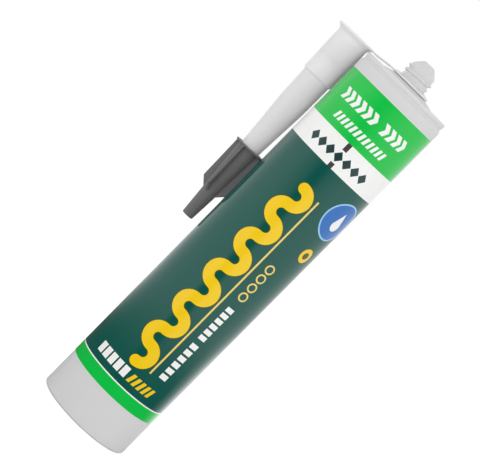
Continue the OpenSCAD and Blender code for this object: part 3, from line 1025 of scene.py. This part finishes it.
# %% Marks on the deep green field
BEAD_EDGE = 0.35
RULE_AT = 7.9
RULE_HALF_W = 0.45
SIDE_AT = 14.4
CHAIN_LOW = 92.5
CHAIN_COUNT = 4
CHAIN_PITCH = 5.8
CHAIN_R = 2.1
CHAIN_HALF_W = 0.4
FOOT_UP = 33.5
FOOT_SLANTED_UP = 33.2


def bead_and_rule(graph, paint, across, up):
    away = off_bead(across, up)
    paint = graph.blend(away < BEAD_W / 2 + BEAD_EDGE, paint, OLIVE_EDGE)
    paint = graph.blend(away < BEAD_W / 2, paint, YELLOW_INK)
    rule = (abs(across - RULE_AT) < RULE_HALF_W) * between(up, BEAD_LOW - BEAD_R, BEAD_TOP + BEAD_R)
    return graph.blend(rule, paint, PALE_YELLOW)


def side_rows(graph, paint, across, up):
    """Two rows of blocks that climb beside the bead, and a chain of rings over them."""
    aside = across - SIDE_AT
    low = blocks(up, aside, first=42, count=6, pitch=3.95, fill=0.7, height=4.2)
    high = blocks(up, aside, first=67.6, count=6, pitch=3.55, fill=0.7, height=4.2)
    paint = graph.blend(most(low, high), paint, WHITE_INK)
    off_ring = ((up - CHAIN_LOW) / CHAIN_PITCH).math("FRACT") - 0.5
    rings = abs(reach(aside, off_ring * CHAIN_PITCH) - CHAIN_R) < CHAIN_HALF_W
    chain = between(up, CHAIN_LOW, CHAIN_LOW + CHAIN_COUNT * CHAIN_PITCH)
    return graph.blend(rings * chain, paint, PALE_YELLOW)


def foot_rows(graph, paint, across, up):
    """Upright white blocks and slanted yellow ones, side by side."""
    white = blocks(across, up - FOOT_UP, first=-19.2, count=5, pitch=4.1, fill=0.78, height=5.4)
    paint = graph.blend(white, paint, WHITE_INK)
    slanted = across - (up - FOOT_UP) * SLANT
    yellow = blocks(slanted, up - FOOT_SLANTED_UP, first=2.6, count=5, pitch=3.0, fill=0.6, height=4.8)
    return graph.blend(yellow, paint, YELLOW_INK)


print(f"chain of rings up to {CHAIN_LOW + CHAIN_COUNT * CHAIN_PITCH:.1f} mm")

# %% [markdown]
# A round badge with a plain drop, and a small spot under it, sit at the right of the field. The drop is
# a disc with a pointed roof on it. At the back, where the film laps, its cut edge shows as a white line.

# %% Badge, spot and seam line
BADGE = (24.5, 149.5)
BADGE_R = 10.7
BADGE_RIM = 0.8
DROP_R = 3
DROP_LOW = 2
DROP_TIP = 7.6
ROOF_LOW = 1.4
ROOF_SLOPE = 0.42
SPOT = (24.6, 128.2)
SPOT_R = 4
SPOT_HOLE_R = 1.9
SEAM_LINE_W = 0.8


def badge(graph, paint, across, up):
    paint = graph.blend(disc(across, up, BADGE, BADGE_R), paint, PALE_BLUE)
    paint = graph.blend(disc(across, up, BADGE, BADGE_R - BADGE_RIM), paint, BLUE_INK)
    aside = across - BADGE[0]
    drop_up = up - BADGE[1] + DROP_LOW
    roof = (abs(aside) < (DROP_TIP - drop_up) * ROOF_SLOPE) * between(drop_up, ROOF_LOW, DROP_TIP)
    drop = most(reach(aside, drop_up) < DROP_R, roof)
    return graph.blend(drop, paint, WHITE_INK)


def spot(graph, paint, across, up):
    paint = graph.blend(disc(across, up, SPOT, SPOT_R), paint, YELLOW_INK)
    return graph.blend(disc(across, up, SPOT, SPOT_HOLE_R), paint, OLIVE_EDGE)


def seam_line(graph, paint, across, up):
    lap_end = LAP_MM / 2 - math.pi * TUBE_R
    return graph.blend(between(across, lap_end, lap_end + SEAM_LINE_W), paint, WHITE_INK)


print("badge", 2 * BADGE_R, "mm wide")

# %% [markdown]
# ## The film's finish
# A film stretched over a tube is glossy, but never quite flat. Long weak ripples bend its reflections,
# and a fine grain takes the last sharpness off them. Both are bump, since they are far too shallow to
# show in the outline. The film doesn't count for diffuse light, because its deep green would tint
# the pale nozzle beside it more than the real one does.

# %% Printed film
RIPPLES_PER_MM = 0.06
FILM_GRAINS_PER_MM = 0.9
FILM_GRAIN_SHARE = 0.05
RIPPLE_SHARE = 0.6
RIPPLE_DEPTH = 0.03
FILM_ROUGHNESS = 0.12
FILM_ROUGHNESS_SPREAD = 0.06
PRESS_ORDER = (headings, lozenges, bead_and_rule, side_rows, foot_rows, badge, spot, seam_line)


def printed_film():
    """Gloss film with all its inks, laid over each other in the order of the press."""
    material = bpy.data.materials.new("printed_gloss_film")
    graph = Graph(material)
    across, up, place = film_places(graph)
    paint = bands(graph, up)
    for lay_on in PRESS_ORDER:
        paint = lay_on(graph, paint, across, up)
    ripple = graph.noise(place, RIPPLES_PER_MM / MM, 1.0)
    grain = graph.noise(place, FILM_GRAINS_PER_MM / MM, 1.0)
    relief = ripple * RIPPLE_SHARE + grain * FILM_GRAIN_SHARE
    graph.skin({
        "Base Color": paint,
        "Roughness": ripple * FILM_ROUGHNESS_SPREAD + FILM_ROUGHNESS,
        "Normal": graph.bump(relief, RIPPLE_DEPTH * MM),
    })
    print("nodes in the film's finish:", len(graph.tree.nodes))
    return material


label = piece_of("wrapped_label", film_form, printed_film())
label.visible_diffuse = False
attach(label, "cartridge")
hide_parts("label_film")

# %% [markdown]
# ## The studio
# A picture like this is taken inside a tent of white cloth, which lights a piece evenly from all
# sides. The world gives that light here, a little weaker from above than from the sides. The gloss of
# the film needs something to mirror, too. For glossy rays the studio is a ring of soft boxes with a
# dark gap beside the camera, which shows as the dark stripe down the tube. The gap fades out slowly
# in the walls and has short edges on the floor.

# %% Ring of soft boxes
AMBIENT = 0.82
CEILING = 0.66
CEILING_FROM = 0.15
CEILING_TO = 0.8
BOX_LIGHT = 1.05
GAP_LIGHT = 0.03
PHOTO_SIDE = math.atan2(CAMERA_PLACE.y, CAMERA_PLACE.x)
GAP_CENTRE = PHOTO_SIDE - math.radians(6.5)
GAP_HALF = math.radians(7)
FLOOR_GAP_SOFT = math.radians(9)
WALL_GAP_SOFT = math.radians(50)
PURE_WHITE = (1, 1, 1, 1)


def rising(graph, wire, start, end, low=0.0):
    """Rises evenly from low to 1 while the wire goes from start to end, and stays level outside."""
    return graph.node("ShaderNodeMapRange", {}, {0: wire, 1: start, 2: end, 3: low, 4: 1.0})


def turned_from(graph, directions, centre):
    """Angle round the tube between a place or direction and the one called centre."""
    ways = graph.node("ShaderNodeSeparateXYZ", {}, {0: directions})
    east, north = (Wire(graph, socket) for socket in ways.socket.node.outputs[:2])
    return abs((north.math("ARCTAN2", east) - centre).math("WRAP", math.pi, -math.pi))


def out_of_gap(graph, directions, soft):
    """0 in the dark gap and 1 where the soft boxes stand. Soft is the angle between the two."""
    return rising(graph, turned_from(graph, directions, GAP_CENTRE), GAP_HALF, GAP_HALF + soft)


def white_light(graph, kind, strength):
    """White light of one strength, from a surface or from the world."""
    return graph.node(kind, {}, {"Color": PURE_WHITE, "Strength": strength})


def mixed(graph, factor, first, second):
    return graph.node("ShaderNodeMixShader", {}, {0: factor, 1: first, 2: second})


def fill_world():
    world = bpy.data.worlds.new("studio")
    bpy.context.scene.world = world
    graph = Graph(world)
    direction = graph.node("ShaderNodeTexCoord", output="Generated")
    is_glossy = graph.node("ShaderNodeLightPath", output="Is Glossy Ray")
    is_camera = graph.node("ShaderNodeLightPath", output="Is Camera Ray")
    is_through = graph.node("ShaderNodeLightPath", output="Is Transmission Ray")
    dark_gap = white_light(graph, "ShaderNodeBackground", GAP_LIGHT)
    soft_box = white_light(graph, "ShaderNodeBackground", BOX_LIGHT)
    mirrored = mixed(graph, out_of_gap(graph, direction, WALL_GAP_SOFT), dark_gap, soft_box)
    height = graph.node("ShaderNodeSeparateXYZ", {}, {0: direction}, output=2)
    walls = white_light(graph, "ShaderNodeBackground", AMBIENT)
    ceiling = white_light(graph, "ShaderNodeBackground", CEILING)
    tent = mixed(graph, rising(graph, height, CEILING_FROM, CEILING_TO), walls, ceiling)
    backdrop = white_light(graph, "ShaderNodeBackground", 1.0)
    surround = mixed(graph, is_glossy, tent, mirrored)
    surround = mixed(graph, most(is_camera, is_through), surround, backdrop)
    graph.node("ShaderNodeOutputWorld", {}, {"Surface": surround})
    print("world nodes:", len(graph.tree.nodes))


fill_world()

# %% [markdown]
# The floor is plain and pale, and takes the tube's soft shadow. A little extra light, for camera rays
# alone, brings it up to the white of the backdrop without lighting the object. The lower half of the
# tube mirrors the floor and not the walls. So for glossy rays the floor carries the ring of soft boxes
# on and dims it near the tube, and a bright patch behind the tube at the right lights its foot's edge.

# %% Floor
FLOOR_SIZE = 4.0
FLOOR_DARK = (0.7, 0.7, 0.7, 1)
FLOOR_PALE = (0.73, 0.73, 0.73, 1)
FLECKS_PER_M = 300
FLOOR_LIFT = 0.58
FADE_FROM = 0.25
FADE_TO = 0.5
FADE_LOW = 0.08
PATCH_LIGHT = 1.6
PATCH_CENTRE = PHOTO_SIDE + math.radians(143.5)
PATCH_HALF = math.radians(5)
PATCH_SOFT = math.radians(40)
PATCH_FROM = 0.4
PATCH_TO = 0.6


def floor_finish():
    material = bpy.data.materials.new("plain_floor")
    graph = Graph(material)
    is_camera = graph.node("ShaderNodeLightPath", output="Is Camera Ray")
    is_glossy = graph.node("ShaderNodeLightPath", output="Is Glossy Ray")
    place = graph.node("ShaderNodeTexCoord", output="Object")
    paint = graph.blend(graph.noise(place, FLECKS_PER_M), FLOOR_DARK, FLOOR_PALE)
    cover = graph.node("ShaderNodeBsdfDiffuse", {}, {"Color": paint})
    lift = white_light(graph, "ShaderNodeEmission", FLOOR_LIFT)
    lifted = graph.node("ShaderNodeAddShader", {}, {0: cover, 1: lift})
    dark_gap = white_light(graph, "ShaderNodeEmission", GAP_LIGHT)
    soft_box = white_light(graph, "ShaderNodeEmission", BOX_LIGHT)
    away = graph.node("ShaderNodeVectorMath", {"operation": "LENGTH"}, {0: place}, output=1)
    fade = rising(graph, away, FADE_FROM, FADE_TO, low=FADE_LOW)
    mirrored = mixed(graph, out_of_gap(graph, place, FLOOR_GAP_SOFT) * fade, dark_gap, soft_box)
    aside = rising(graph, turned_from(graph, place, PATCH_CENTRE), PATCH_HALF, PATCH_HALF + PATCH_SOFT)
    patch = (1 - aside) * (1 - rising(graph, away, PATCH_FROM, PATCH_TO))
    mirrored = mixed(graph, patch, mirrored, white_light(graph, "ShaderNodeEmission", PATCH_LIGHT))
    surface = mixed(graph, is_glossy, mixed(graph, is_camera, cover, lifted), mirrored)
    graph.node("ShaderNodeOutputMaterial", {}, {"Surface": surface})
    return material


floor_form = bmesh.new()
bmesh.ops.create_grid(floor_form, x_segments=1, y_segments=1, size=FLOOR_SIZE / 2)
floor_mesh = bpy.data.meshes.new("studio_floor")
floor_form.to_mesh(floor_mesh)
floor_form.free()
floor_mesh.materials.append(floor_finish())
floor = bpy.data.objects.new("studio_floor", floor_mesh)
bpy.context.scene.collection.objects.link(floor)
print("floor:", FLOOR_SIZE, "m square")

# %% [markdown]
# Three soft lamps give the even light some direction. The one in front shows the tube's round form and
# reaches the nozzle's side next to it, and the two others lift the edges. They are area lamps, because
# a large source has soft shadows. Glossy rays don't see them, since the ring of soft boxes is what the
# film mirrors.

# %% Lamps
def soft_lamp(name, turn_deg, lift_deg, away, size, power):
    """A square lamp that faces the middle of the tube. The turn is counted from +X, as in the frame."""
    lamp = bpy.data.lights.new(name, "AREA")
    lamp.shape = "SQUARE"
    lamp.size = size
    lamp.energy = power
    holder = bpy.data.objects.new(name, lamp)
    bpy.context.scene.collection.objects.link(holder)
    turn, lift = math.radians(turn_deg), math.radians(lift_deg)
    way = Vector((math.cos(turn) * math.cos(lift), math.sin(turn) * math.cos(lift), math.sin(lift)))
    middle = Vector((0, 0, TIP_TOP / 2 * MM))
    aim = way.to_track_quat("Z", "Y").to_matrix().to_4x4()
    holder.matrix_world = Matrix.Translation(middle + way * away) @ aim
    holder.visible_glossy = False
    holder.visible_camera = False
    return holder


soft_lamp("left_soft_box", turn_deg=-144, lift_deg=12, away=1.1, size=0.7, power=2.2)
soft_lamp("front_soft_box", turn_deg=-66, lift_deg=6, away=1.3, size=0.9, power=4.6)
soft_lamp("right_soft_box", turn_deg=-14, lift_deg=12, away=1.3, size=0.9, power=2.9)
bpy.context.scene.view_settings.view_transform = "Standard"
